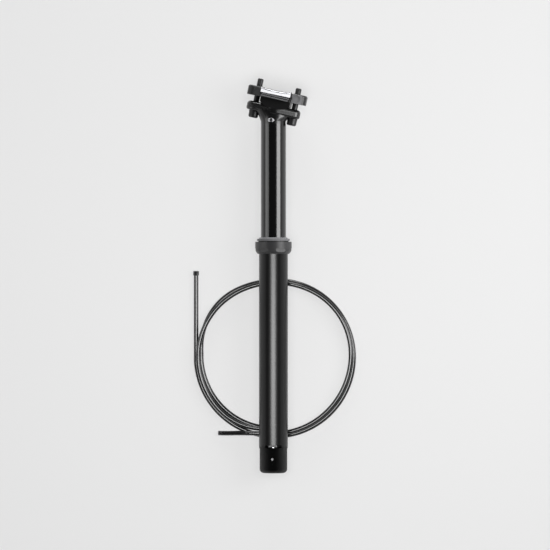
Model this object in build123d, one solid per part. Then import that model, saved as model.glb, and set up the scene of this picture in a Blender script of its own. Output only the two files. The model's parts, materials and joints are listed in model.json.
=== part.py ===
# Dropper seatpost: a sprung upper tube slides in a lower tube, works a saddle clamp on top
# and is released by a cable lever in the foot. Two loose lengths of cable housing lie coiled under it.
# The post is drawn upright about its own axis, foot at zero, then laid on its side on a bench.
import os
from math import cos, pi, radians, sin, sqrt

from build123d import *

# Fits and cutters
running_fit = 0.05
seat_fit = 0.1
thread_fit = 0.2
loose_fit = 0.3
overrun = 3.0

# Tubes and stroke
tube_diameter = 31.6
tube_wall = 1.2
guide_wall = 0.8
stanchion_wall = 1.8
stroke = 120.0
drop_clearance = 2.0
head_gap = 4.3

# Foot with the release lever
foot_step = 0.7
foot_height = 27.0
foot_corner = 4.4
foot_floor = 6.0
flange_step = 0.2
flange_height = 2.0
spigot_length = 11.0
deck_low = 33.0
lever_slot_width = 10.4
lever_slot_top = 21.0
lever_room_wall = 2.2
window_left = -8.0
window_right = 10.0
window_low = 27.8
window_high = 30.6

# Release lever, an eccentric disc with a cable arm
pivot_height = 15.4
pivot_diameter = 3.0
pivot_inset = 0.3
lever_disc_radius = 7.0
lever_tip_gap = 0.4
lever_thickness = 8.0
lever_arm_radius = 4.0
cable_barrel_diameter = 5.0
cable_barrel_length = 9.0
cable_hole_diameter = 2.0
cable_stop_diameter = 5.2
cable_stop_depth = 4.5
fork_width = 2.6

# Valve plunger and gas cartridge
plunger_foot_diameter = 13.0
plunger_foot_height = 2.0
plunger_share = 0.3
plunger_travel_room = 4.5
rod_share = 0.625
rod_low = 27.0
rod_end_wall = 4.0
rod_shoulder_width = 2.0
rod_shoulder_height = 2.0
rod_nut_wall = 3.0
rod_nut_height = 4.5
piston_height = 9.7
piston_gap = 2.4
cartridge_room = 2.5
cartridge_wall = 1.5
cartridge_plug_height = 12.0
cartridge_cap_height = 8.0
cartridge_clip_height = 1.6
cartridge_clip_width = 2.6
bumper_height = 10.0
bumper_room = 0.7

# Guides
lower_bushing_height = 12.0
upper_bushing_height = 24.0
key_count = 3
key_length = 12.0
key_width = 3.0
key_gap_above_bushing = 4.0
key_pocket_depth = 0.8
keyway_depth = 0.45

# Collar and wiper
tube_top = 250.0
collar_low = 239.7
collar_high = 253.0
collar_wall = 4.2
collar_chamfer_height = 3.4
collar_chamfer_width = 2.8
collar_web_gap = 0.4
thread_depth = 0.3
notch_count = 6
notch_width = 11.4
notch_height = 6.0
notch_depth = 1.2
wiper_band_wall = 4.2
wiper_groove_height = 0.9
wiper_band_height = 2.4
wiper_skirt_wall = 2.7
wiper_skirt_depth = 1.8
wiper_lip_height = 1.4
wiper_lip_wall = 1.2

# Saddle clamp: its own frame has x along the rails and z square to them
clamp_rise = 28.8
clamp_tilt = 12.0
clamp_centre = 3.8
rail_diameter = 7.0
rail_spacing = 44.0
rail_height = 3.0
rail_outer_wall = 1.4
cradle_half_length = 16.5
cradle_low = -2.0
cradle_boss_width = 27.0
rocker_radius = 27.0
rocker_centre = 14.5
bolt_spacing = 43.0

# Upper clamp
ear_high = 9.0
ear_dip = 1.4
ear_edge = 2.2
ear_inner = 17.2
deck_bottom = 4.0
deck_top = 8.0
deck_window_length = 20.0
deck_window_width = 20.0
block_low = -1.7
block_high = 8.7
block_inner = 17.1
block_outer = 32.8
block_width = 22.0
block_corner = 7.0
block_edge = 1.2

# Clamp bolts, domed washers and barrel nuts
bolt_diameter = 6.4
bolt_head_diameter = 10.6
bolt_head_height = 6.0
bolt_head_edge = 1.8
hex_key_size = 5.0
hex_key_depth = 3.0
rear_bolt_top = 17.5
front_bolt_top = 15.5
bolt_tip_edge = 0.8
washer_diameter = 11.2
washer_low = -20.0
washer_dome_radius = 8.0
washer_dome_centre = -24.0
barrel_diameter = 8.4
barrel_length = 20.0
barrel_height = 3.4
bolt_slot_diameter = 9.0

# Seat head forging
wing_low = -18.0
wing_high = -8.0
wing_rear_radius = 9.2
wing_front_radius = 7.4
wing_waist_radius = 14.5
wing_edge = 2.4
wing_top_edge = 3.8
neck_spigot_length = 20.0
neck_straight = 3.0
waist_share = 1.2
flare_rear_reach = 27.0
flare_front_reach = 19.0
flare_half_depth = 14.0
flare_sink = 3.0
bolt_room_width = 12.2
neck_screw_offset = -1.6
neck_screw_height = 4.0
neck_screw_diameter = 3.4
neck_screw_length = 5.0
neck_screw_inset = 0.7
neck_screw_key = 1.6
neck_oval_width = 7.6
neck_oval_height = 4.6
neck_oval_depth = 0.6

# Cable housing: diameters, cord routes in the bench plane as seen from above
housing_diameter = 5.0
layer_gap = 0.3
ferrule_diameter = 6.2
ferrule_length = 5.0
ferrule_rim = 0.5
housing_end_run = 5.0
# Each coil is a run of arcs: shares of a quarter turn, and radii
first_start = (-87.6, 221.0)
first_coil_height = 126.0
first_turn_shares = [1, 1, 1, 0.28, 0.56, 0.16, 0.01, 0.5, 0.5]
first_radii = [86.7, 87.2, 84.0, 105.0, 68.0, 85.0, 480.0, 81.0, 78.0]
second_coil_start = (-1.7, 42.6)
second_turn_shares = [0.5, 0.5, 0.67, 0.33, 0.33, 0.67, 0.5, 0.5]
second_radii = [84.0, 88.5, 77.0, 88.0, 92.0, 80.0, 84.0, 65.5]
second_route = [
    (-62.9, 42.7, 0.0),
    (-54.0, 42.4, 0.4),
    (-44.0, 42.8, 2.8),
    (-33.0, 42.9, 5.1),
    (-20.0, 42.6, 5.3),
    (-6.7, 42.6, 5.3),
]

# Worked out from the sizes above
tube_radius = tube_diameter / 2
tube_bore = tube_radius - tube_wall
stanchion_radius = tube_bore - guide_wall
stanchion_bore = stanchion_radius - stanchion_wall
cartridge_radius = stanchion_bore - cartridge_room
cartridge_bore = cartridge_radius - cartridge_wall
rod_radius = cartridge_bore * rod_share
plunger_radius = rod_radius * plunger_share
foot_radius = tube_radius - foot_step
flange_radius = tube_radius - flange_step
thread_radius = tube_radius - thread_depth
collar_radius = tube_radius + collar_wall
rail_radius = rail_diameter / 2
tube_bottom = foot_height + flange_height
deck_high = tube_bottom + spigot_length
stanchion_bottom = deck_high + rod_shoulder_height + stroke + drop_clearance
wiper_low = collar_high + wiper_groove_height
head_base = wiper_low + wiper_band_height + wiper_lip_height + stroke + head_gap
lever_room_radius = tube_bore - lever_room_wall
lever_reach = lever_room_radius - lever_tip_gap
lever_offset = lever_reach - lever_disc_radius
cable_offset = lever_reach - lever_arm_radius
ear_half_width = rail_spacing / 2 + rail_radius + rail_outer_wall
bolt_reach = bolt_spacing / 2
clamp_height = head_base + clamp_rise
key_low = stanchion_bottom + lower_bushing_height + key_gap_above_bushing
key_inner = stanchion_radius - key_pocket_depth
keyway_radius = tube_bore + keyway_depth
cap_low = stanchion_bottom + cartridge_clip_height + loose_fit
cap_high = cap_low + cartridge_cap_height
rod_high = cap_high + bumper_height + piston_gap + piston_height
rod_bore_top = rod_high - rod_end_wall
cartridge_high = head_base - neck_spigot_length
plunger_low = pivot_height + lever_disc_radius + seat_fit
plunger_high = rod_bore_top - plunger_travel_room
layer_step = housing_diameter + layer_gap
axis_height = max(ear_half_width, tube_radius + 2 * layer_step)
low_end = (Align.CENTER, Align.CENTER, Align.MIN)


def ring(outer, inner, low, high):
    # A round ring or bar about the post's axis.
    body = Pos(0, 0, low) * Cylinder(outer, high - low, align=low_end)
    if inner > 0:
        body -= Pos(0, 0, low - overrun) * Cylinder(inner, high - low + 2 * overrun, align=low_end)
    return body


def block(x_low, x_high, y_low, y_high, z_low, z_high):
    # A straight block between two corners.
    size = (x_high - x_low, y_high - y_low, z_high - z_low)
    middle = ((x_high + x_low) / 2, (y_high + y_low) / 2, (z_high + z_low) / 2)
    return Pos(*middle) * Box(*size)


def bar_along_y(radius, x, z, y_low, y_high):
    # A round bar across the post.
    length = y_high - y_low
    return Pos(x, (y_high + y_low) / 2, z) * Rot(90, 0, 0) * Cylinder(radius, length)


def bar_along_x(radius, y, z, x_low, x_high):
    # A round bar along the rails.
    length = x_high - x_low
    return Pos((x_high + x_low) / 2, y, z) * Rot(0, 90, 0) * Cylinder(radius, length)


def upright_bar(radius, x, low, high):
    # A round bar along the clamp bolts.
    return Pos(x, 0, low) * Cylinder(radius, high - low, align=low_end)


def on_head(shape):
    # From the clamp's own frame to the post's.
    return Pos(0, 0, clamp_height) * Rot(0, clamp_tilt, 0) * shape


def turned(points):
    # A solid turned about the post's axis from radius and height pairs.
    outline = make_face(Polyline(*[(radius, 0, height) for radius, height in points], close=True))
    return revolve(outline, Axis.Z)


def foot_window(y_low, y_high):
    return block(window_left, window_right, y_low, y_high, window_low, window_high)


def make_outer_tube():
    body = ring(tube_radius, tube_bore, tube_bottom, tube_top)
    keyway_top = key_low + key_length + loose_fit
    half = key_width / 2 + seat_fit
    for index in range(key_count):
        groove = block(0, keyway_radius, -half, half, tube_bottom - overrun, keyway_top)
        body -= Rot(0, 0, 90 + index * 360 / key_count) * groove
    body -= ring(tube_diameter, thread_radius, collar_low, tube_top + overrun)
    return body - foot_window(-tube_diameter, 0)


def make_foot_housing():
    body = fillet(ring(foot_radius, 0, 0, foot_height).edges().sort_by(Axis.Z)[0], foot_corner)
    body += ring(flange_radius, 0, foot_height, tube_bottom)
    body += ring(tube_bore, 0, tube_bottom, deck_high)
    body -= ring(lever_room_radius, 0, lever_slot_top, deck_low)
    half = lever_slot_width / 2
    reach = lever_room_radius
    body -= block(-reach, reach, -half, half, foot_floor, deck_low)
    body -= ring(rod_radius, 0, deck_low - overrun, deck_high + overrun)
    body -= bar_along_y(pivot_diameter / 2, 0, pivot_height, -tube_diameter, tube_diameter)
    stop = Pos(cable_offset, 0, 0)
    body -= stop * ring(cable_stop_diameter / 2, 0, -overrun, cable_stop_depth)
    body -= stop * ring(cable_hole_diameter / 2, 0, -overrun, foot_floor + overrun)
    return body - foot_window(-tube_diameter, 0)


def make_pivot_pin():
    reach = foot_radius - pivot_inset
    pin = bar_along_y(pivot_diameter / 2, 0, pivot_height, -reach, reach)
    return chamfer(pin.edges(), pivot_inset)


def make_lever():
    half = lever_thickness / 2
    body = bar_along_y(lever_disc_radius, -lever_offset, pivot_height, -half, half)
    body += bar_along_y(lever_arm_radius, cable_offset, pivot_height, -half, half)
    arm = lever_arm_radius
    body += block(-lever_offset, cable_offset, -half, half, pivot_height - arm, pivot_height + arm)
    body -= bar_along_y(pivot_diameter / 2 + running_fit, 0, pivot_height, -tube_radius, tube_radius)
    body -= bar_along_y(cable_barrel_diameter / 2, cable_offset, pivot_height, -tube_radius, tube_radius)
    slit = fork_width / 2
    reach = cable_offset + arm + overrun
    return body - block(cable_offset - slit, reach, -slit, slit, 0, pivot_height)


def make_cable_barrel():
    half = cable_barrel_length / 2
    body = bar_along_y(cable_barrel_diameter / 2, cable_offset, pivot_height, -half, half)
    return body - Pos(cable_offset, 0, 0) * ring(cable_hole_diameter / 2, 0, 0, foot_height)


def make_plunger():
    body = ring(plunger_foot_diameter / 2, 0, plunger_low, plunger_low + plunger_foot_height)
    return body + ring(plunger_radius, 0, plunger_low, plunger_high)


def make_rod():
    body = ring(rod_radius, 0, rod_low, rod_high)
    body += ring(rod_radius + rod_shoulder_width, 0, deck_high, deck_high + rod_shoulder_height)
    return body - ring(plunger_radius + thread_fit, 0, rod_low - overrun, rod_bore_top)


def make_rod_nut():
    outline = RegularPolygon(rod_radius + rod_nut_wall, 6, major_radius=False)
    body = Pos(0, 0, deck_low - rod_nut_height) * extrude(outline, rod_nut_height)
    return body - ring(rod_radius, 0, rod_low - overrun, deck_low + overrun)


def make_piston():
    return ring(cartridge_bore - running_fit, rod_radius, rod_high - piston_height, rod_high)


def make_cartridge():
    return ring(cartridge_radius, cartridge_bore, cap_high, cartridge_high)


def make_cartridge_plug():
    return ring(cartridge_bore, 0, cartridge_high - cartridge_plug_height, cartridge_high)


def make_cartridge_cap():
    return ring(stanchion_bore, rod_radius + running_fit, cap_low, cap_high)


def make_cartridge_clip():
    inner = stanchion_bore - cartridge_clip_width
    body = ring(stanchion_bore, inner, cap_low - cartridge_clip_height, cap_low)
    gap = cartridge_clip_width
    return body - block(0, stanchion_radius, -gap, gap, cap_low - 2 * gap, cap_low + gap)


def make_bumper():
    return ring(cartridge_bore - bumper_room, rod_radius + loose_fit, cap_high, cap_high + bumper_height)


def make_stanchion():
    body = ring(stanchion_radius, stanchion_bore, stanchion_bottom, head_base)
    half = key_width / 2
    for index in range(key_count):
        pocket = block(key_inner, tube_radius, -half, half, key_low, key_low + key_length)
        body -= Rot(0, 0, 90 + index * 360 / key_count) * pocket
    return body


def make_guide_keys():
    half = key_width / 2
    key = block(key_inner, keyway_radius - seat_fit, -half, half, key_low, key_low + key_length)
    return [Rot(0, 0, 90 + index * 360 / key_count) * key for index in range(key_count)]


def make_lower_bushing():
    high = stanchion_bottom + lower_bushing_height
    return ring(tube_bore - running_fit, stanchion_radius, stanchion_bottom, high)


def make_upper_bushing():
    low = tube_top - upper_bushing_height
    return ring(tube_bore, stanchion_radius + running_fit, low, tube_top)


def make_collar():
    radius = collar_radius
    waist = radius - collar_chamfer_width
    skirt = stanchion_radius + wiper_skirt_wall
    web = stanchion_radius + collar_web_gap
    shoulder = collar_low + collar_chamfer_height
    skirt_low = collar_high - wiper_skirt_depth
    body = turned([
        (thread_radius, collar_low), (waist, collar_low), (radius, shoulder), (radius, collar_high),
        (skirt, collar_high), (skirt, skirt_low), (web, skirt_low), (web, tube_top),
        (thread_radius, tube_top),
    ])
    half = notch_width / 2
    inner = radius - notch_depth
    for index in range(notch_count):
        notch = block(inner, radius + overrun, -half, half, collar_low - overrun, collar_low + notch_height)
        body -= Rot(0, 0, index * 360 / notch_count) * notch
    return body


def make_wiper():
    inner = stanchion_radius + running_fit
    band = stanchion_radius + wiper_band_wall
    lip_low = wiper_low + wiper_band_height
    lip_high = lip_low + wiper_lip_height
    skirt = stanchion_radius + wiper_skirt_wall
    lip = stanchion_radius + wiper_lip_wall
    skirt_low = collar_high - wiper_skirt_depth
    return turned([
        (inner, skirt_low), (skirt, skirt_low), (skirt, wiper_low), (band, wiper_low),
        (band, lip_low), (lip + wiper_lip_height, lip_low), (lip, lip_high), (inner, lip_high),
    ])


def bolt_places():
    # Rear bolt first, then the front one, along the rails.
    return [clamp_centre - bolt_reach, clamp_centre + bolt_reach]


def neck_flare():
    # The forging's flare, from the round neck to an oval inside the wings.
    neck_high = head_base + neck_straight
    middle = (flare_front_reach - flare_rear_reach) / 2
    half = (flare_front_reach + flare_rear_reach) / 2
    oval = on_head(Pos(clamp_centre + middle, 0, wing_low + flare_sink) * Ellipse(half, flare_half_depth))
    halfway = (neck_high + clamp_height + wing_low) / 2
    waist = Pos(0, 0, halfway) * Rot(0, clamp_tilt / 2, 0) * Ellipse(stanchion_radius * waist_share, stanchion_radius)
    neck = Pos(0, 0, neck_high) * Circle(stanchion_radius)
    return loft([neck.face(), waist.face(), oval.face()])


def make_seat_head():
    tips = zip(bolt_places(), (wing_rear_radius, wing_front_radius))
    rims = [Pos(x, 0) * Circle(radius) for x, radius in tips]
    rims.append(Pos(clamp_centre, 0) * Circle(wing_waist_radius))
    outline = make_hull(Sketch(children=rims).edges())
    wings = Pos(0, 0, wing_low) * extrude(outline, wing_high - wing_low)
    wings = fillet(wings.edges().group_by(Axis.Z)[-1], wing_top_edge)
    wings = fillet(wings.edges().group_by(Axis.Z)[0], wing_edge)
    body = on_head(wings) + neck_flare()
    body += ring(stanchion_radius, 0, head_base, head_base + neck_straight)
    body += ring(stanchion_bore, 0, cartridge_high, head_base)
    cutter = bar_along_y(rocker_radius + seat_fit, clamp_centre, rocker_centre, -tube_diameter, tube_diameter)
    for x in bolt_places():
        bore = upright_bar(bolt_slot_diameter / 2, x, wing_low - overrun, wing_high + overrun)
        seat = Pos(x, 0, washer_dome_centre) * Sphere(washer_dome_radius + seat_fit)
        room_radius = bolt_room_width / 2
        outer = x + (x - clamp_centre)
        room_low = wing_low - 2 * tube_diameter
        room = upright_bar(room_radius, x, room_low, wing_low)
        side = block(min(x, outer), max(x, outer), -room_radius, room_radius, room_low, wing_low)
        cutter += bore + seat + room + side
    body -= on_head(cutter)
    return body - neck_recess()


def neck_recess():
    # Small oval recess in the neck's near side with a set screw in it.
    height = head_base + neck_screw_height
    face_y = -stanchion_radius
    oval = SlotOverall(neck_oval_width, neck_oval_height)
    cutter = Pos(neck_screw_offset, face_y + neck_oval_depth, height) * Rot(90, 0, 0)
    recess = cutter * extrude(oval, overrun)
    inner = face_y + neck_screw_inset + neck_screw_length
    return recess + bar_along_y(neck_screw_diameter / 2, neck_screw_offset, height, face_y - overrun, inner)


def make_neck_screw():
    height = head_base + neck_screw_height
    outer = -stanchion_radius + neck_screw_inset
    screw = bar_along_y(neck_screw_diameter / 2, neck_screw_offset, height, outer, outer + neck_screw_length)
    key = extrude(RegularPolygon(neck_screw_key / 2, 6, major_radius=False), neck_screw_key)
    return screw - Pos(neck_screw_offset, outer + neck_screw_key, height) * Rot(90, 0, 0) * key


def rail_grooves():
    reach = block_outer + overrun
    grooves = []
    for side in (-1, 1):
        y = side * rail_spacing / 2
        grooves.append(bar_along_x(rail_radius, y, rail_height, clamp_centre - reach, clamp_centre + reach))
    return grooves[0] + grooves[1]


def make_lower_cradle():
    left = clamp_centre - cradle_half_length
    right = clamp_centre + cradle_half_length
    half = cradle_boss_width / 2
    rocker = bar_along_y(rocker_radius, clamp_centre, rocker_centre, -half, half)
    boss = rocker & block(left, right, -half, half, rocker_centre - rocker_radius, cradle_low)
    plate = block(left, right, -ear_half_width, ear_half_width, cradle_low, rail_height)
    return on_head(plate + boss - rail_grooves())


def make_upper_clamp():
    left = clamp_centre - cradle_half_length
    right = clamp_centre + cradle_half_length
    dip_radius = (cradle_half_length ** 2 + ear_dip ** 2) / (2 * ear_dip)
    dip_centre = ear_high - ear_dip + dip_radius
    reach = ear_half_width + overrun
    dip = bar_along_y(dip_radius, clamp_centre, dip_centre, -reach, reach)
    ears = []
    for side in (-1, 1):
        near = min(side * ear_inner, side * ear_half_width)
        ear = block(left, right, near, near + ear_half_width - ear_inner, rail_height, ear_high) - dip
        rims = ear.edges().filter_by(GeomType.CIRCLE).sort_by(Axis.Y)
        ears.append(fillet(rims[-1] if side > 0 else rims[0], ear_edge))
    body = ears[0] + ears[1] - rail_grooves()
    body += block(left, right, -ear_inner, ear_inner, deck_bottom, ear_high - ear_dip)
    half = block_width / 2
    for side in (-1, 1):
        inner = clamp_centre + side * block_inner
        outer = clamp_centre + side * block_outer
        end = block(min(inner, outer), max(inner, outer), -half, half, block_low, block_high)
        tips = end.edges().filter_by(Axis.Z).sort_by(Axis.X)
        end = fillet(tips[-2:] if side > 0 else tips[:2], block_corner)
        rims = end.edges().group_by(Axis.Z)
        end = chamfer(rims[-1], block_edge)
        deep = min(inner, inner - side * overrun)
        link = block(deep, deep + overrun, -half, half, deck_bottom, deck_top)
        body += end + link
    length = deck_window_length / 2
    width = deck_window_width / 2
    low = deck_bottom - overrun
    body -= block(clamp_centre - length, clamp_centre + length, -width, width, low, ear_high + overrun)
    for x in bolt_places():
        body -= bar_along_y(barrel_diameter / 2 + running_fit, x, barrel_height, -half, half)
        body -= upright_bar(bolt_slot_diameter / 2, x, block_low - overrun, block_high + overrun)
    return on_head(body)


def make_barrel_nut(x):
    half = barrel_length / 2
    body = bar_along_y(barrel_diameter / 2, x, barrel_height, -half, half)
    low = barrel_height - barrel_diameter
    high = barrel_height + barrel_diameter
    return on_head(body - upright_bar(bolt_diameter / 2 + thread_fit, x, low, high))


def make_bolt(x, top):
    low = washer_low - bolt_head_height
    head = upright_bar(bolt_head_diameter / 2, x, low, washer_low)
    head = fillet(head.edges().sort_by(Axis.Z)[0], bolt_head_edge)
    shank = upright_bar(bolt_diameter / 2, x, washer_low, top)
    shank = chamfer(shank.edges().sort_by(Axis.Z)[-1], bolt_tip_edge)
    key = Pos(x, 0, low) * extrude(RegularPolygon(hex_key_size / 2, 6, major_radius=False), hex_key_depth)
    return on_head(head + shank - key)


def make_washer(x):
    dome = Pos(x, 0, washer_dome_centre) * Sphere(washer_dome_radius)
    blank = upright_bar(washer_diameter / 2, x, washer_low, washer_dome_centre + washer_dome_radius)
    bore = upright_bar(bolt_diameter / 2, x, washer_low - overrun, wing_high)
    return on_head((blank & dome) - bore)


def bench_point(x, y, z):
    # A place on the bench, seen from above, in the upright post's frame.
    return Vector(x, axis_height - z, y)


def sweep_round(path, diameter):
    # A round bar along a path.
    profile = Plane(origin=path @ 0, z_dir=path % 0) * Circle(diameter / 2)
    return sweep(profile, path=path)


def coil_turns(start, heading, turn_shares, radii):
    # Centre, first heading, turn and radius of arcs to the left, each tangent to the one before.
    steps = []
    x, y = start
    angle = heading
    for share, radius in zip(turn_shares, radii):
        turn = share * pi / 2
        centre = (x - radius * sin(angle), y + radius * cos(angle))
        steps.append((centre, angle, turn, radius))
        angle += turn
        x = centre[0] + radius * sin(angle)
        y = centre[1] - radius * cos(angle)
    return steps


def on_arc(centre, angle, radius):
    # The place on an arc where its heading is the angle.
    return centre[0] + radius * sin(angle), centre[1] - radius * cos(angle)


def coil_path(start, heading, turn_shares, radii, height):
    # A straight end, then the arcs, then a straight end.
    x, y = start
    before = (x - housing_end_run * cos(heading), y - housing_end_run * sin(heading))
    edges = [Line(bench_point(*before, height), bench_point(x, y, height))]
    point = start
    last = heading
    for centre, angle, turn, radius in coil_turns(start, heading, turn_shares, radii):
        last = angle + turn
        halfway = on_arc(centre, angle + turn / 2, radius)
        end = on_arc(centre, last, radius)
        edges.append(ThreePointArc(bench_point(*point, height), bench_point(*halfway, height),
                                   bench_point(*end, height)))
        point = end
    after = (point[0] + housing_end_run * cos(last), point[1] + housing_end_run * sin(last))
    edges.append(Line(bench_point(*point, height), bench_point(*after, height)))
    return Wire(edges)


def least_self_gap(start, heading, turn_shares, radii, name):
    # The narrowest gap between passes of one coil, measured on points along it.
    points = []
    travelled = 0
    parts_of_arc = 24
    for centre, angle, turn, radius in coil_turns(start, heading, turn_shares, radii):
        for index in range(parts_of_arc):
            points.append((*on_arc(centre, angle + index / parts_of_arc * turn, radius), travelled))
            travelled += radius * turn / parts_of_arc
    far = travelled / 2
    gaps = [sqrt((a[0] - b[0]) ** 2 + (a[1] - b[1]) ** 2) - housing_diameter
            for a in points for b in points if b[2] - a[2] > far]
    print(name, "least gap to itself", round(min(gaps), 2))


def make_first_coil():
    start = (first_start[0], first_coil_height)
    path = coil_path(start, -pi / 2, first_turn_shares, first_radii, housing_diameter / 2)
    least_self_gap(start, -pi / 2, first_turn_shares, first_radii, "housing_coil")
    print("housing_coil length", round(path.length, 1))
    return sweep_round(path, housing_diameter)


def make_first_lead():
    x, high = first_start
    low = first_coil_height + housing_end_run
    height = housing_diameter / 2
    path = Line(bench_point(x, high - ferrule_length, height), bench_point(x, low, height))
    print("housing_lead length", round(path.length, 1))
    return sweep_round(path, housing_diameter)


def make_first_ferrule():
    x, high = first_start
    height = max(housing_diameter, ferrule_diameter) / 2
    cap = Cylinder(ferrule_diameter / 2, ferrule_length)
    cap = chamfer(cap.edges(), ferrule_rim)
    return Pos(*bench_point(x, high - ferrule_length / 2, height)) * cap


def make_second_coil():
    height = housing_diameter / 2 + layer_step
    path = coil_path(second_coil_start, 0, second_turn_shares, second_radii, height)
    least_self_gap(second_coil_start, 0, second_turn_shares, second_radii, "second_housing_coil")
    print("second_housing_coil length", round(path.length, 1))
    return sweep_round(path, housing_diameter)


def make_second_lead():
    height = housing_diameter / 2
    points = [bench_point(x, y, height + rise) for x, y, rise in second_route]
    corners = []
    for before, here, after in zip(points, points[1:], points[2:]):
        turn = radians((here - before).get_angle(after - here))
        shorter = min((here - before).length, (after - here).length)
        corners.append(0.45 * shorter * cos(turn / 2) / sin(turn / 2))
    print("second_housing_lead radii", [round(radius, 1) for radius in corners])
    path = FilletPolyline(*points, radius=corners)
    body = sweep_round(path, housing_diameter)
    section = pi * housing_diameter ** 2 / 4
    print("second_housing_lead length", round(path.length, 1), "volume share", body.volume / section / path.length)
    return body


rear_x, front_x = bolt_places()
post = {
    "outer_tube": make_outer_tube(),
    "foot_housing": make_foot_housing(),
    "lever_pivot_pin": make_pivot_pin(),
    "release_lever": make_lever(),
    "cable_barrel": make_cable_barrel(),
    "valve_plunger": make_plunger(),
    "cartridge_rod": make_rod(),
    "rod_nut": make_rod_nut(),
    "rod_piston": make_piston(),
    "cartridge_tube": make_cartridge(),
    "cartridge_plug": make_cartridge_plug(),
    "cartridge_cap": make_cartridge_cap(),
    "cartridge_clip": make_cartridge_clip(),
    "top_out_bumper": make_bumper(),
    "stanchion": make_stanchion(),
    "guide_keys": make_guide_keys(),
    "lower_bushing": make_lower_bushing(),
    "upper_bushing": make_upper_bushing(),
    "seal_collar": make_collar(),
    "wiper_seal": make_wiper(),
    "seat_head": make_seat_head(),
    "neck_screw": make_neck_screw(),
    "lower_cradle": make_lower_cradle(),
    "upper_clamp": make_upper_clamp(),
    "rear_barrel_nut": make_barrel_nut(rear_x),
    "front_barrel_nut": make_barrel_nut(front_x),
    "rear_clamp_bolt": make_bolt(rear_x, rear_bolt_top),
    "front_clamp_bolt": make_bolt(front_x, front_bolt_top),
    "rear_domed_washer": make_washer(rear_x),
    "front_domed_washer": make_washer(front_x),
}
cords = {
    "housing_ferrule": make_first_ferrule(),
    "housing_lead": make_first_lead(),
    "housing_coil": make_first_coil(),
    "second_housing_lead": make_second_lead(),
    "second_housing_coil": make_second_coil(),
}


def solids_of(shape):
    pieces = shape if isinstance(shape, list) else [shape]
    return [solid for piece in pieces for solid in piece.solids()]


# The post lies on its side: its axis along Y, its near side up, its middle over the origin.
box = Compound(children=[copy for shape in post.values() for copy in solids_of(shape)]).bounding_box()
shift = (-(box.min.X + box.max.X) / 2, -(box.min.Z + box.max.Z) / 2, axis_height)
laid = Pos(*shift) * Rot(-90, 0, 0)
print("shift", [round(value, 4) for value in shift])


def show(name, x, y, z):
    place = (laid * Pos(x, y, z)).position
    print(name, [round(value, 4) for value in (place.X, place.Y, place.Z)])


def show_on_head(name, x, z):
    place = on_head(Pos(x, 0, z)).position
    show(name, place.X, place.Y, place.Z)


show("foot", 0, 0, 0)
show("tube top", 0, 0, tube_top)
show("lever pivot", 0, 0, pivot_height)
show("cable stop", cable_offset, 0, 0)
show_on_head("rocker centre", clamp_centre, rocker_centre)
for side_name, place_x in (("rear", rear_x), ("front", front_x)):
    show_on_head(side_name + " washer centre", place_x, washer_dome_centre)
    show_on_head(side_name + " barrel", place_x, barrel_height)
show_on_head("rail middle", clamp_centre, rail_height)
nut_arm = rocker_centre - barrel_height
bolt_arm = barrel_height - washer_dome_centre
print("bolt swing ratio", -nut_arm / bolt_arm, "nut ratio", -1 - nut_arm / bolt_arm)

os.makedirs("parts", exist_ok=True)
for node, shape in {**post, **cords}.items():
    solids = [laid * solid for solid in solids_of(shape)]
    body = solids[0] if len(solids) == 1 else Compound(children=solids)
    export_step(body, "parts/" + node + ".step")
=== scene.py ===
import json
from math import cos, pi, radians, sin, sqrt

import bpy
from mathutils import Matrix, Vector


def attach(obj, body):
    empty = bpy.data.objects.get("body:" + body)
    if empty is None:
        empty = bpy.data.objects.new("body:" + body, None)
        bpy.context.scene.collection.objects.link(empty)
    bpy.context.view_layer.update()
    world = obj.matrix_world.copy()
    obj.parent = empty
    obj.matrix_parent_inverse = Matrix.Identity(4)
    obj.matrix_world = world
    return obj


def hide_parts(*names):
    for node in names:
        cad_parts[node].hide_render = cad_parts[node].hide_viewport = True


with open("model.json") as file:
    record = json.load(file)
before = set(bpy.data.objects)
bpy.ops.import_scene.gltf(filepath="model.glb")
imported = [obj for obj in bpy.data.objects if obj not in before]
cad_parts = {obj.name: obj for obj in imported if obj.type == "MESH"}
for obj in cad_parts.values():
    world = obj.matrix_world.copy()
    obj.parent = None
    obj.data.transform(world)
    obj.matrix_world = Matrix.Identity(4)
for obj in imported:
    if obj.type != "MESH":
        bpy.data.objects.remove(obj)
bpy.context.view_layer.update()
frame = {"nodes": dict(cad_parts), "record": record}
nodes = frame["nodes"]
mm = 0.001

# Where the laid post's own places lie in the frame, in millimetres
layout = {
    "axisX": -3.8758,
    "footY": -216.0483,
    "axisZ": 26.9,
    "clampY": 410.8,
    "clampTilt": 12.0,
}


def bench(x, y, z):
    # A place on the bench, from the post's foot, x across and y along the post
    return Vector(((x + layout["axisX"]) * mm, (y + layout["footY"]) * mm, z * mm))


def clampPlace(x, z, depth):
    # A place on the saddle clamp: x along the rails, z square to them, depth towards the viewer
    lean = radians(layout["clampTilt"])
    across = x * cos(lean) + z * sin(lean)
    along = layout["clampY"] - x * sin(lean) + z * cos(lean)
    return bench(across, along, layout["axisZ"] + depth)


# Camera, far above the bench with a long lens
cameraFacts = {
    "target": (-3.2, 0.6, 15.0),
    "distance": 5000.0,
    "leanRight": 5.0,
    "leanDown": 0.0,
    "pictureWidth": 603.4,
    "sensor": 36.0,
    "clip": (0.1, 20.0),
}


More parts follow.
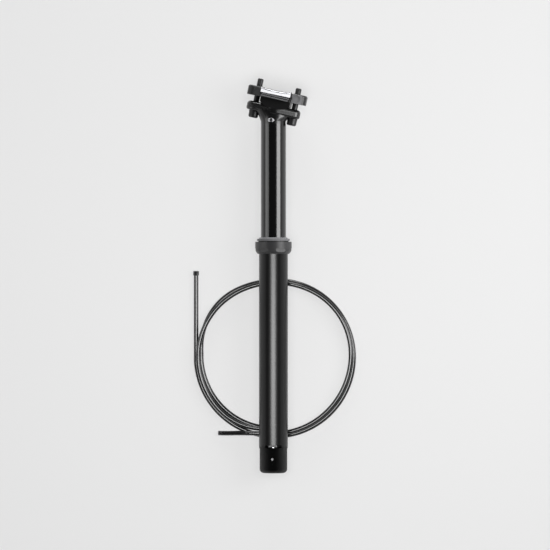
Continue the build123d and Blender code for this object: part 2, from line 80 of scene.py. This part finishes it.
def addCamera(facts):
    data = bpy.data.cameras.new("benchCamera")
    camera = bpy.data.objects.new("benchCamera", data)
    bpy.context.scene.collection.objects.link(camera)
    side = radians(facts["leanRight"])
    down = radians(facts["leanDown"])
    away = Vector((sin(side), -sin(down), cos(side) * cos(down))).normalized()
    target = Vector(facts["target"]) * mm
    data.sensor_width = facts["sensor"]
    data.lens = facts["sensor"] * facts["distance"] / facts["pictureWidth"]
    data.clip_start, data.clip_end = facts["clip"]
    camera.location = target + away * facts["distance"] * mm
    right = Vector((0, 1, 0)).cross(away).normalized()
    up = away.cross(right)
    camera.matrix_world = Matrix((
        (right.x, up.x, away.x, camera.location.x),
        (right.y, up.y, away.y, camera.location.y),
        (right.z, up.z, away.z, camera.location.z),
        (0, 0, 0, 1),
    ))
    bpy.context.scene.camera = camera
    print("camera set", round(data.lens, 1), "mm lens")


addCamera(cameraFacts)

# Two loose lengths of black cable housing, each a straight lead and a coil
housing = {
    "diameter": 5.0,
    "layer": 5.3,
    "quarterSteps": 9,
    "firstStart": (-87.6, 221.0),
    "firstCoilHeight": 126.0,
    "firstTurnShares": [1, 1, 1, 0.28, 0.56, 0.16, 0.01, 0.5, 0.5],
    "firstRadii": [86.7, 87.2, 84.0, 105.0, 68.0, 85.0, 480.0, 81.0, 78.0],
    "ferrule": 5.0,
    "endRun": 5.0,
    "secondStart": (-1.7, 42.6),
    "secondTurnShares": [0.5, 0.5, 0.67, 0.33, 0.33, 0.67, 0.5, 0.5],
    "secondRadii": [84.0, 88.5, 77.0, 88.0, 92.0, 80.0, 84.0, 65.5],
    "secondRoute": [
        (-62.9, 42.7, 0.0), (-54.0, 42.4, 0.4), (-44.0, 42.8, 2.8), (-33.0, 42.9, 5.1),
        (-20.0, 42.6, 5.3), (-6.7, 42.6, 5.3),
    ],
    "firstLength": 0.7599,
    "secondLength": 0.5781,
    "splineOrder": 3,
    "splineSteps": 5,
    "roundSteps": 6,
}


def coilPoints(start, heading, turnShares, radii, height):
    # Control points of arcs to the left, pushed out so that the spline keeps each radius
    x, y = start
    angle = heading
    points = [bench(x, y, height)]
    for share, radius in zip(turnShares, radii):
        centreX = x - radius * sin(angle)
        centreY = y + radius * cos(angle)
        whole = share * pi / 2
        steps = max(1, round(share * housing["quarterSteps"]))
        outer = radius / cos(whole / steps / 2)
        for step in range(steps):
            turn = angle + (step + 0.5) / steps * whole
            points.append(bench(centreX + outer * sin(turn), centreY - outer * cos(turn), height))
        angle += whole
        x = centreX + radius * sin(angle)
        y = centreY - radius * cos(angle)
    points.append(bench(x, y, height))
    points.append(bench(x + housing["endRun"] * cos(angle), y + housing["endRun"] * sin(angle), height))
    return points


def addCord(name, points):
    curve = bpy.data.curves.new(name, "CURVE")
    curve.dimensions = "3D"
    spline = curve.splines.new("NURBS")
    spline.points.add(len(points) - 1)
    for spot, point in zip(spline.points, points):
        spot.co = (point.x, point.y, point.z, 1)
        spot.radius = housing["diameter"] / 2 * mm
    spline.order_u = housing["splineOrder"]
    spline.use_endpoint_u = True
    spline.resolution_u = housing["splineSteps"]
    curve.bevel_depth = 1.0  # the points' radius gives the cord's thickness, and keeps the curve's box tight
    curve.bevel_resolution = housing["roundSteps"]
    curve.use_fill_caps = True
    cord = bpy.data.objects.new(name, curve)
    bpy.context.scene.collection.objects.link(cord)
    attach(cord, "lower_post")
    return cord


def addHousings():
    low = housing["diameter"] / 2
    x, high = housing["firstStart"]
    coilStart = (x, housing["firstCoilHeight"])
    top = high - housing["ferrule"]
    lead = [bench(x, top, low), bench(x, (top + coilStart[1]) / 2, low)]
    firstCoil = coilPoints(coilStart, -pi / 2, housing["firstTurnShares"], housing["firstRadii"], low)
    first = addCord("ferruledHousing", lead + firstCoil)
    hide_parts("housing_lead", "housing_coil")
    route = [bench(spotX, spotY, low + rise) for spotX, spotY, rise in housing["secondRoute"]]
    height = low + housing["layer"]
    secondCoil = coilPoints(housing["secondStart"], 0, housing["secondTurnShares"], housing["secondRadii"],
                            height)
    second = addCord("cutHousing", route + secondCoil)
    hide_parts("second_housing_lead", "second_housing_coil")
    print("housings laid")
    return first, second


cords = addHousings()

# Finishes: base colour, roughness and what else each one has
finishes = {
    "black_anodised": {"colour": 0.003, "rough": 0.31, "grain": 0.05, "grainSize": 1100.0},
    "stanchion_black": {"colour": 0.004, "rough": 0.17, "coat": 0.3, "grainSize": 900.0},
    "collar_black": {"colour": 0.045, "rough": 0.42, "grain": 0.12, "grainSize": 1700.0},
    "forged_black": {"colour": 0.008, "rough": 0.26, "coat": 0.2, "grain": 0.06, "grainSize": 800.0},
    "clamp_black": {"colour": 0.012, "rough": 0.36, "grain": 0.10, "grainSize": 1300.0},
    "bolt_black": {"colour": 0.030, "metal": 0.3, "rough": 0.35, "grain": 0.05, "grainSize": 1200.0},
    "bright_steel": {"colour": 0.62, "metal": 1.0, "rough": 0.24, "grain": 0.03, "grainSize": 1500.0},
    "bright_alloy": {"colour": 0.74, "metal": 1.0, "rough": 0.32, "grain": 0.06, "grainSize": 1300.0},
    "brass": {"colour": (0.72, 0.50, 0.20), "metal": 1.0, "rough": 0.3, "grain": 0.03, "grainSize": 900.0},
    "black_composite": {"colour": 0.017, "rough": 0.55, "grain": 0.15, "grainSize": 1600.0},
    "dark_polymer": {"colour": 0.035, "rough": 0.50, "grain": 0.05, "grainSize": 1400.0},
    "black_rubber": {"colour": 0.21, "rough": 0.60, "grain": 0.08, "grainSize": 1700.0},
    "ferrule_black": {"colour": 0.014, "rough": 0.36, "grain": 0.03, "grainSize": 1200.0},
    "face_grey": {"colour": 0.20, "rough": 0.40, "grain": 0.05, "grainSize": 1300.0},
    "housing_sheath": {"colour": 0.004, "rough": 0.19, "coat": 0.2, "grainSize": 1500.0},
}
finishShares = {
    "roughLow": 0.88,
    "roughHigh": 1.14,
    "shadeLow": 0.90,
    "shadeHigh": 1.10,
    "blueTint": 1.04,
    "coatRough": 0.08,
    "bumpDepth": 0.0002,
    "noiseDetail": 3,
}


def asColour(value, share=1.0):
    if isinstance(value, tuple):
        return (*[part * share for part in value], 1)
    return (value * share, value * share, value * share * finishShares["blueTint"], 1)


def makeFinish(name, facts):
    # A base colour and a roughness that vary over a fine noise, with the noise as a slight grain
    material = bpy.data.materials.new(name)
    material.use_nodes = True
    tree = material.node_tree
    shader = tree.nodes["Principled BSDF"]
    shader.inputs["Metallic"].default_value = facts.get("metal", 0.0)
    shader.inputs["Coat Weight"].default_value = facts.get("coat", 0.0)
    shader.inputs["Coat Roughness"].default_value = finishShares["coatRough"]
    place = tree.nodes.new("ShaderNodeTexCoord")
    noise = tree.nodes.new("ShaderNodeTexNoise")
    noise.inputs["Scale"].default_value = facts["grainSize"]
    noise.inputs["Detail"].default_value = finishShares["noiseDetail"]
    tree.links.new(place.outputs["Object"], noise.inputs["Vector"])
    shade = tree.nodes.new("ShaderNodeMapRange")
    shade.inputs["To Min"].default_value = facts["rough"] * finishShares["roughLow"]
    shade.inputs["To Max"].default_value = facts["rough"] * finishShares["roughHigh"]
    tree.links.new(noise.outputs["Fac"], shade.inputs["Value"])
    tree.links.new(shade.outputs["Result"], shader.inputs["Roughness"])
    mix = tree.nodes.new("ShaderNodeMixRGB")
    mix.inputs["Color1"].default_value = asColour(facts["colour"], finishShares["shadeLow"])
    mix.inputs["Color2"].default_value = asColour(facts["colour"], finishShares["shadeHigh"])
    tree.links.new(noise.outputs["Fac"], mix.inputs["Fac"])
    tree.links.new(mix.outputs["Color"], shader.inputs["Base Color"])
    if "grain" in facts:
        bump = tree.nodes.new("ShaderNodeBump")
        bump.inputs["Strength"].default_value = facts["grain"]
        bump.inputs["Distance"].default_value = finishShares["bumpDepth"]
        tree.links.new(noise.outputs["Fac"], bump.inputs["Height"])
        tree.links.new(bump.outputs["Normal"], shader.inputs["Normal"])
    return material


def addMath(tree, operation, *values):
    # One operation on sockets or plain numbers
    node = tree.nodes.new("ShaderNodeMath")
    node.operation = operation
    for socket, value in zip(node.inputs, values):
        if isinstance(value, float):
            socket.default_value = value
        else:
            tree.links.new(value, socket)
    return node.outputs["Value"]


def splitPlace(tree, place):
    # The three parts of a place, by name
    split = tree.nodes.new("ShaderNodeSeparateXYZ")
    tree.links.new(place, split.inputs["Vector"])
    return split.outputs


def rampFrom(tree, value, start, edge):
    # 0 below a place and 1 beyond it
    ramp = tree.nodes.new("ShaderNodeMapRange")
    ramp.inputs["From Min"].default_value = (start - edge) * mm
    ramp.inputs["From Max"].default_value = (start + edge) * mm
    tree.links.new(value, ramp.inputs["Value"])
    return ramp.outputs["Result"]


def mixOver(tree, socket, share, colour):
    # Lay a colour over what a shader's socket already gets
    mix = tree.nodes.new("ShaderNodeMixRGB")
    tree.links.new(share, mix.inputs["Fac"])
    tree.links.new(socket.links[0].from_socket, mix.inputs["Color1"])
    tree.links.new(colour, mix.inputs["Color2"])
    tree.links.new(mix.outputs["Color"], socket)


def addPlain(tree, shade):
    # One even grey
    plain = tree.nodes.new("ShaderNodeRGB")
    plain.outputs["Color"].default_value = asColour(shade)
    return plain.outputs["Color"]


# The upper clamp's ears are machined bright on their outer flanks, and its front block's faces are grey
flankCut = {
    "depth": 26.45,
    "edge": 0.15,
    "colour": 0.72,
    "rough": 0.30,
    "faceFrom": 20.6,
    "faceDepth": 10.6,
    "faceColour": 0.20,
    "strokes": (120.0, 900.0, 900.0),
}


def addFlankCut(material, facts):
    # Bright metal with fine strokes, and the grey faces, by a point's depth and its place along the rails
    tree = material.node_tree
    shader = tree.nodes["Principled BSDF"]
    place = tree.nodes.new("ShaderNodeTexCoord").outputs["Object"]
    fromAxis = addMath(tree, "SUBTRACT", splitPlace(tree, place)["Z"], layout["axisZ"] * mm)
    depth = addMath(tree, "ABSOLUTE", fromAxis)
    flank = rampFrom(tree, depth, facts["depth"], facts["edge"])
    lean = radians(layout["clampTilt"])
    turned = tree.nodes.new("ShaderNodeMapping")
    turned.inputs["Rotation"].default_value = (0, 0, lean)
    turned.inputs["Scale"].default_value = facts["strokes"]
    tree.links.new(place, turned.inputs["Vector"])
    strokes = tree.nodes.new("ShaderNodeTexNoise")
    strokes.inputs["Scale"].default_value = 1.0
    tree.links.new(turned.outputs["Vector"], strokes.inputs["Vector"])
    metal = tree.nodes.new("ShaderNodeMixRGB")
    metal.inputs["Color1"].default_value = asColour(facts["colour"], finishShares["shadeLow"])
    metal.inputs["Color2"].default_value = asColour(facts["colour"], finishShares["shadeHigh"])
    tree.links.new(strokes.outputs["Fac"], metal.inputs["Fac"])
    mixOver(tree, shader.inputs["Base Color"], flank, metal.outputs["Color"])
    onClamp = tree.nodes.new("ShaderNodeMapping")
    onClamp.inputs["Rotation"].default_value = (0, 0, lean)
    onClamp.inputs["Location"].default_value = -(Matrix.Rotation(lean, 3, "Z") @ clampPlace(0, 0, 0))
    tree.links.new(place, onClamp.inputs["Vector"])
    along = splitPlace(tree, onClamp.outputs["Vector"])["X"]
    beyond = rampFrom(tree, along, facts["faceFrom"], facts["edge"])
    outside = rampFrom(tree, depth, facts["faceDepth"], facts["edge"])
    face = addMath(tree, "MULTIPLY", beyond, outside)
    mixOver(tree, shader.inputs["Base Color"], face, addPlain(tree, facts["faceColour"]))
    rough = tree.nodes.new("ShaderNodeMapRange")
    rough.inputs["To Min"].default_value = finishes["clamp_black"]["rough"]
    rough.inputs["To Max"].default_value = facts["rough"]
    tree.links.new(flank, rough.inputs["Value"])
    tree.links.new(rough.outputs["Result"], shader.inputs["Roughness"])
    tree.links.new(flank, shader.inputs["Metallic"])


materials = {name: makeFinish(name, facts) for name, facts in finishes.items()}
materials["bright_flank"] = makeFinish("bright_flank", finishes["clamp_black"])
addFlankCut(materials["bright_flank"], flankCut)

# Painted shade: below its band, where it goes down into the collar, the wiper's colour is made near black to
# stand for the shadow in the groove
wiperGroovePaintedShade = {
    "top": 253.9,
    "edge": 0.05,
    # the near black of the painted groove shade
    "colour": 0.004,
}


def addGrooveShade(material, facts):
    tree = material.node_tree
    place = tree.nodes.new("ShaderNodeTexCoord").outputs["Object"]
    low = facts["top"] + layout["footY"]
    above = rampFrom(tree, splitPlace(tree, place)["Y"], low, facts["edge"])
    below = addMath(tree, "SUBTRACT", 1.0, above)
    shader = tree.nodes["Principled BSDF"]
    # Painted shade: the near black laid over the rubber below the band stands for the groove's shadow, not
    # the rubber's own colour
    mixOver(tree, shader.inputs["Base Color"], below, addPlain(tree, facts["colour"]))


addGrooveShade(materials["black_rubber"], wiperGroovePaintedShade)


def dress(piece, finish):
    piece.data.materials.clear()
    piece.data.materials.append(materials[finish])


# Each node wears its slot's finish, apart from these four
ownFinishes = {
    "upper_clamp": "bright_flank",
    "front_barrel_nut": "face_grey",
    "lever_pivot_pin": "face_grey",
    "rod_nut": "bolt_black",
}
slotOf = {part["node"]: part["material_slot"] for part in frame["record"]["subparts"]}
for node, piece in nodes.items():
    dress(piece, ownFinishes.get(node, slotOf[node]))
for cord in cords:
    dress(cord, "housing_sheath")
print("finishes on", len(nodes), "pieces")


def startPiece():
    # Nothing is picked before a piece is made
    bpy.ops.object.select_all(action="DESELECT")


def applyPlace():
    bpy.ops.object.transform_apply(location=True, rotation=True, scale=True)


def pickVerts(piece, wanted):
    # Select the vertices that a test of their place picks, in edit mode
    bpy.ops.mesh.select_mode(type="VERT")
    bpy.ops.mesh.select_all(action="DESELECT")
    bpy.ops.object.mode_set(mode="OBJECT")
    for vert in piece.data.vertices:
        vert.select = wanted(vert.co)
    bpy.ops.object.mode_set(mode="EDIT")


def settle(piece, place, lean):
    # From its own upright frame to the laid post, with the piece's object left at the origin
    turn = radians(lean)
    piece.matrix_world = Matrix((
        (cos(turn), 0, sin(turn), place.x),
        (-sin(turn), 0, cos(turn), place.y),
        (0, -1, 0, place.z),
        (0, 0, 0, 1),
    ))
    startPiece()
    piece.select_set(True)
    bpy.context.view_layer.objects.active = piece
    applyPlace()


def finishPiece(piece, name, body, slot, smooth=35.0):
    # Smooth it up to an angle in degrees, name it, and put it on its body with its finish
    startPiece()
    piece.select_set(True)
    bpy.context.view_layer.objects.active = piece
    bpy.ops.object.shade_smooth_by_angle(angle=radians(smooth))
    piece.name = name
    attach(piece, body)
    dress(piece, slot)


# Screw thread on the two bolt ends that stand above the clamp
boltThread = {
    "root": 3.05,
    "crest": 3.30,
    "pitch": 1.0,
    "steps": 40,
    "leadTurns": 2,
    "spareTurns": 5,
    "slackShare": 0.1,
    "merge": 0.01,
    "smooth": 25.0,
    "ends": {"rear": (-17.7, 8.2, 16.6), "front": (25.3, 8.2, 14.6)},
}


def addThread(side, x, low, high, facts):
    # A V outline turned and lifted round the bolt's line, cut square at both ends
    startPiece()
    reach = facts["pitch"] / 2
    bpy.ops.mesh.primitive_plane_add(size=2 * reach * mm, rotation=(pi / 2, 0, 0))
    thread = bpy.context.object
    applyPlace()
    bpy.ops.object.mode_set(mode="EDIT")
    bpy.ops.transform.rotate(value=pi / 4, orient_axis="Y", center_override=(0, 0, 0))
    depth = (facts["crest"] - facts["root"]) / reach
    bpy.ops.transform.resize(value=(depth / sqrt(2), 1, 1 / sqrt(2)), center_override=(0, 0, 0))
    slack = reach * facts["slackShare"]
    pickVerts(thread, lambda spot: spot.x < -slack * mm)
    bpy.ops.mesh.delete(type="VERT")
    bpy.ops.mesh.select_all(action="SELECT")
    start = low - facts["leadTurns"] * facts["pitch"]
    bpy.ops.transform.translate(value=(facts["root"] * mm, 0, start * mm))
    bpy.ops.object.mode_set(mode="OBJECT")
    turns = int((high - low) / facts["pitch"]) + facts["spareTurns"]
    screw = thread.modifiers.new("turns", "SCREW")
    screw.screw_offset = facts["pitch"] * mm
    screw.iterations = turns
    screw.steps = facts["steps"]
    screw.render_steps = facts["steps"]
    screw.use_merge_vertices = True
    screw.merge_threshold = facts["merge"] * mm
    bpy.ops.object.modifier_apply(modifier="turns")
    bpy.ops.object.mode_set(mode="EDIT")
    for height, outer in ((low, False), (high, True)):
        bpy.ops.mesh.select_all(action="SELECT")
        bpy.ops.mesh.bisect(plane_co=(0, 0, height * mm), plane_no=(0, 0, 1), use_fill=True,
                            clear_inner=not outer, clear_outer=outer)
    bpy.ops.mesh.select_all(action="SELECT")
    bpy.ops.mesh.remove_doubles(threshold=facts["merge"] * mm)
    bpy.ops.mesh.normals_make_consistent(inside=False)
    bpy.ops.object.mode_set(mode="OBJECT")
    settle(thread, clampPlace(x, 0, 0), layout["clampTilt"])
    finishPiece(thread, side + "BoltThread", side + "_bolt", "bolt_black", smooth=facts["smooth"])


for side, (x, low, high) in boltThread["ends"].items():
    addThread(side, x, low, high, boltThread)
print("bolt threads cut")

# Rows of slanted ribs that the cradle's two flanks carry
ribs = {
    "long": 2.3,
    "high": 1.15,
    "thick": 0.8,
    "proud": 0.28,
    "slant": 24.0,
    "pitch": 2.35,
    "count": 13,
    "rows": (-0.75, 1.45),
    "rowShift": 1.1,
    "middle": 3.8,
    "flank": 26.9,
    "edge": 0.28,
    "edgeSteps": 2,
    "tilt": 1.5,
}


def addRibs(sideName, side, facts):
    # One bevelled rib, copied along two rows and joined; side 1 is the near flank
    startPiece()
    size = (facts["long"] * mm, facts["thick"] * mm, facts["high"] * mm)
    bpy.ops.mesh.primitive_cube_add(size=1, scale=size)
    first = bpy.context.object
    applyPlace()
    bpy.ops.object.mode_set(mode="EDIT")
    bpy.ops.mesh.select_all(action="SELECT")
    bpy.ops.mesh.bevel(offset=facts["edge"] * mm, segments=facts["edgeSteps"], affect="EDGES")
    bpy.ops.transform.rotate(value=radians(facts["slant"]), orient_axis="Y", center_override=(0, 0, 0))
    bpy.ops.object.mode_set(mode="OBJECT")
    depth = -side * (facts["flank"] + facts["proud"] - facts["thick"] / 2)
    copies = []
    for rowIndex, row in enumerate(facts["rows"]):
        shift = facts["rowShift"] * (rowIndex - 0.5)
        for index in range(facts["count"]):
            copy = first.copy()
            copy.data = first.data.copy()
            bpy.context.scene.collection.objects.link(copy)
            along = facts["middle"] + shift + (index - (facts["count"] - 1) / 2) * facts["pitch"]
            copy.location = (along * mm, depth * mm, row * mm)
            copies.append(copy)
    bpy.data.objects.remove(first)
    startPiece()
    for copy in copies:
        copy.select_set(True)
    bpy.context.view_layer.objects.active = copies[0]
    applyPlace()
    bpy.ops.object.join()
    strip = bpy.context.object
    settle(strip, clampPlace(0, 0, 0), layout["clampTilt"] + facts["tilt"])
    finishPiece(strip, sideName + "CradleRibs", "saddle_clamp", "clamp_black")
    dress(strip, "face_grey")
    return strip


strips = [addRibs("near", 1, ribs), addRibs("far", -1, ribs)]
print("cradle ribs laid")

# Bright oval plate round the set screw on the neck
neckPlate = {
    "across": -1.6,
    "height": 386.0,
    "surface": 13.8,
    "width": 7.2,
    "tall": 4.2,
    "thick": 0.45,
    "sunk": 0.62,
    "hole": 1.75,
    "drillDepth": 1.8,
    "edge": 0.15,
    "edgeSteps": 2,
    "edgeAngle": 50.0,
    "rimSteps": 64,
    "holeSteps": 48,
    "slackShare": 0.01,
}


def addNeckPlate(facts):
    # A disc stretched to an oval, drilled and bevelled
    startPiece()
    radius = facts["tall"] / 2
    bpy.ops.mesh.primitive_cylinder_add(vertices=facts["rimSteps"], radius=radius * mm,
                                        depth=facts["thick"] * mm, rotation=(pi / 2, 0, 0))
    plate = bpy.context.object
    applyPlace()
    bpy.ops.object.mode_set(mode="EDIT")
    half = (facts["width"] - facts["tall"]) / 2 * mm
    slack = radius * facts["slackShare"]
    for side in (-1, 1):
        pickVerts(plate, lambda spot: slack * mm < spot.x * side < (radius + slack) * mm)
        bpy.ops.transform.translate(value=(side * half, 0, 0))
    bpy.ops.object.mode_set(mode="OBJECT")
    bpy.ops.mesh.primitive_cylinder_add(vertices=facts["holeSteps"], radius=facts["hole"] * mm,
                                        depth=facts["drillDepth"] * mm, rotation=(pi / 2, 0, 0))
    drill = bpy.context.object
    startPiece()
    bpy.context.view_layer.objects.active = plate
    hole = plate.modifiers.new("hole", "BOOLEAN")
    hole.operation = "DIFFERENCE"
    hole.object = drill
    bpy.ops.object.modifier_apply(modifier="hole")
    bpy.data.objects.remove(drill)
    bevel = plate.modifiers.new("edge", "BEVEL")
    bevel.width = facts["edge"] * mm
    bevel.segments = facts["edgeSteps"]
    bevel.angle_limit = radians(facts["edgeAngle"])
    bpy.ops.object.modifier_apply(modifier="edge")
    depth = facts["surface"] - facts["sunk"] + facts["thick"] / 2
    place = bench(facts["across"], facts["height"], layout["axisZ"] + depth)
    settle(plate, place, 0)
    finishPiece(plate, "neckPlate", "upper_post", "bright_alloy")
    return plate


brightPieces = [addNeckPlate(neckPlate)] + strips
print("neck plate set")

# The cut housing's end shows its steel strands round a liner
cutEnd = {
    "strands": 14,
    "ring": 1.7,
    "strand": 0.3,
    "strandEdge": 0.075,
    "strandSteps": 12,
    "liner": 0.95,
    "linerWall": 0.285,
    "linerSteps": 32,
    "proud": 0.25,
}


def addCutEnd(facts):
    # A ring of strand ends, and a liner with a hollow in its face
    startX, startY, rise = housing["secondRoute"][0]
    centre = bench(startX, startY, housing["diameter"] / 2 + rise)
    ends = []
    for index in range(facts["strands"]):
        startPiece()
        turn = index / facts["strands"] * 2 * pi
        spot = centre + Vector((0, cos(turn), sin(turn))) * facts["ring"] * mm
        bpy.ops.mesh.primitive_cylinder_add(vertices=facts["strandSteps"], radius=facts["strand"] * mm,
                                            rotation=(0, pi / 2, 0), depth=2 * facts["proud"] * mm,
                                            location=spot)
        ends.append(bpy.context.object)
    startPiece()
    for strand in ends:
        strand.select_set(True)
    bpy.context.view_layer.objects.active = ends[0]
    bpy.ops.object.join()
    strands = bpy.context.object
    applyPlace()
    bpy.ops.object.mode_set(mode="EDIT")
    bpy.ops.mesh.select_all(action="SELECT")
    bpy.ops.mesh.bevel(offset=facts["strandEdge"] * mm, segments=1, affect="EDGES")
    bpy.ops.object.mode_set(mode="OBJECT")
    finishPiece(strands, "strandEnds", "lower_post", "bright_steel")
    startPiece()
    bpy.ops.mesh.primitive_cylinder_add(vertices=facts["linerSteps"], radius=facts["liner"] * mm,
                                        rotation=(0, pi / 2, 0), depth=2 * facts["proud"] * mm,
                                        location=centre)
    liner = bpy.context.object
    applyPlace()
    bpy.ops.object.mode_set(mode="EDIT")
    pickVerts(liner, lambda spot: spot.x < centre.x)
    bpy.ops.mesh.select_mode(type="FACE")
    bpy.ops.mesh.inset(thickness=facts["linerWall"] * mm)
    bpy.ops.transform.translate(value=(facts["proud"] * mm, 0, 0))
    bpy.ops.object.mode_set(mode="OBJECT")
    finishPiece(liner, "linerEnd", "lower_post", "dark_polymer")


addCutEnd(cutEnd)
print("cut end dressed")

# Pale bench that curves up far behind, and the light level
stageFacts = {
    "benchRadius": 7.0,
    "wallHeight": 3.4,
    "bendRadius": 1.0,
    "bendSteps": 6,
    "rimSteps": 96,
    "smooth": 40.0,
    "benchDrop": 0.0002,
    "benchGlow": 0.74,
    "glowShare": 0.78,
    "benchColour": 0.80,
    "benchRough": 0.9,
    "worldLevel": 0.055,
}


def addBench(facts):
    # A round floor whose rim is raised into a wall
    startPiece()
    bpy.ops.mesh.primitive_circle_add(vertices=facts["rimSteps"], radius=facts["benchRadius"],
                                      fill_type="NGON", location=(0, 0, -facts["benchDrop"]))
    floor = bpy.context.object
    bpy.ops.object.mode_set(mode="EDIT")
    bpy.ops.mesh.select_mode(type="EDGE")
    bpy.ops.mesh.select_all(action="SELECT")
    bpy.ops.mesh.region_to_loop()
    bend = pi / 2 / facts["bendSteps"]
    for step in range(facts["bendSteps"]):
        low = step * bend
        high = (step + 1) * bend
        grow = facts["bendRadius"] * (sin(high) - sin(low))
        lift = facts["bendRadius"] * (cos(low) - cos(high))
        before = facts["benchRadius"] + facts["bendRadius"] * sin(low)
        bpy.ops.mesh.extrude_edges_move()
        bpy.ops.transform.resize(value=((before + grow) / before, (before + grow) / before, 1))
        bpy.ops.transform.translate(value=(0, 0, lift))
    bpy.ops.mesh.extrude_edges_move(TRANSFORM_OT_translate={"value": (0, 0, facts["wallHeight"])})
    bpy.ops.mesh.select_all(action="SELECT")
    bpy.ops.mesh.normals_make_consistent(inside=True)
    bpy.ops.object.mode_set(mode="OBJECT")
    applyPlace()
    bpy.ops.object.shade_smooth_by_angle(angle=radians(facts["smooth"]))
    floor.name = "paleBench"
    material = bpy.data.materials.new("paleBench")
    material.use_nodes = True
    tree = material.node_tree
    shader = tree.nodes["Principled BSDF"]
    shader.inputs["Base Color"].default_value = (*[facts["benchColour"]] * 3, 1)
    shader.inputs["Roughness"].default_value = facts["benchRough"]
    glow = tree.nodes.new("ShaderNodeEmission")
    glow.inputs["Strength"].default_value = facts["benchGlow"]
    rays = tree.nodes.new("ShaderNodeLightPath").outputs
    seen = addMath(tree, "MAXIMUM", rays["Is Camera Ray"], rays["Is Glossy Ray"])
    through = addMath(tree, "MAXIMUM", seen, rays["Is Transmission Ray"])
    share = addMath(tree, "MULTIPLY", through, facts["glowShare"])
    mix = tree.nodes.new("ShaderNodeMixShader")
    output = tree.nodes["Material Output"]
    tree.links.new(share, mix.inputs["Fac"])
    tree.links.new(shader.outputs["BSDF"], mix.inputs[1])
    tree.links.new(glow.outputs["Emission"], mix.inputs[2])
    tree.links.new(mix.outputs["Shader"], output.inputs["Surface"])
    floor.data.materials.append(material)
    return floor


# Soft lamps: angle from straight up to the right, lean towards the clamp's end, sizes in metres,
# and the group of pieces that each one lights
lamps = {
    "rightStrip": {"angle": 52.0, "lean": 0.0, "width": 0.50, "length": 0.60, "along": 0.14, "power": 7.2,
                   "lights": "upper"},
    "leftStrip": {"angle": -56.0, "lean": 0.0, "width": 0.34, "length": 0.60, "along": 0.14, "power": 1.5,
                  "lights": "upper"},
    "topStrip": {"angle": 4.0, "lean": 0.0, "width": 0.36, "length": 0.60, "along": -0.10, "power": 9.4,
                 "lights": "lower"},
    "clampStrip": {"angle": 0.0, "lean": 0.0, "width": 0.40, "length": 0.40, "along": 0.17, "power": 1.15,
                   "lights": "bright"},
    "endLamp": {"angle": 0.0, "lean": 72.0, "width": 0.60, "length": 0.30, "along": 0.17, "power": 7.0,
                "lights": "head"},
    "benchFill": {"angle": 0.0, "lean": 72.0, "width": 0.60, "length": 0.30, "along": 0.17, "power": 7.0,
                  "lights": "loose"},
}
lampNodes = {
    "lower": ["outer_tube", "release_lever", "cable_barrel", "rod_nut", "valve_plunger", "cartridge_rod",
              "lever_pivot_pin"],
    "foot": ["foot_housing"],
    "tubes": ["outer_tube", "foot_housing", "stanchion", "rod_nut"],
    "bright": ["upper_clamp", "front_barrel_nut", "rear_barrel_nut"],
}
lampDistance = 1.0


def addLamps(facts, floor):
    # The polished upper tube, the satin lower tube and the clamp each show their own strips
    chosen = {group: [nodes[name] for name in names] for group, names in lampNodes.items()}
    pieces = [piece for piece in bpy.context.scene.objects if piece.type in ("MESH", "CURVE")]
    loose = [floor] + list(cords)
    groups = {
        "upper": [piece for piece in pieces if piece not in chosen["lower"] + chosen["foot"]],
        "lower": chosen["lower"] + loose,
        "bright": chosen["bright"] + brightPieces,
        "head": [piece for piece in pieces if piece not in chosen["tubes"] + loose],
        "loose": loose,
    }
    for name, lamp in facts.items():
        light = bpy.data.lights.new(name, "AREA")
        light.shape = "RECTANGLE"
        light.size = lamp["width"]
        light.size_y = lamp["length"]
        light.energy = lamp["power"]
        holder = bpy.data.objects.new(name, light)
        bpy.context.scene.collection.objects.link(holder)
        angle = radians(lamp["angle"])
        lean = radians(lamp["lean"])
        away = Vector((sin(angle) * cos(lean), sin(lean), cos(angle) * cos(lean)))
        holder.location = Vector((0, lamp["along"], layout["axisZ"] * mm)) + away * lampDistance
        holder.rotation_euler = away.to_track_quat("Z", "Y").to_euler()
        group = bpy.data.collections.new(name + "Group")
        for piece in groups[lamp["lights"]]:
            group.objects.link(piece)
        holder.light_linking.receiver_collection = group


def setWorld(facts):
    world = bpy.data.worlds.new("studio")
    world.use_nodes = True
    back = world.node_tree.nodes["Background"]
    back.inputs["Color"].default_value = (1, 1, 1, 1)
    back.inputs["Strength"].default_value = facts["worldLevel"]
    bpy.context.scene.world = world
    bpy.context.scene.view_settings.view_transform = "Standard"


paleBench = addBench(stageFacts)
addLamps(lamps, paleBench)
setWorld(stageFacts)
print("bench and light set")
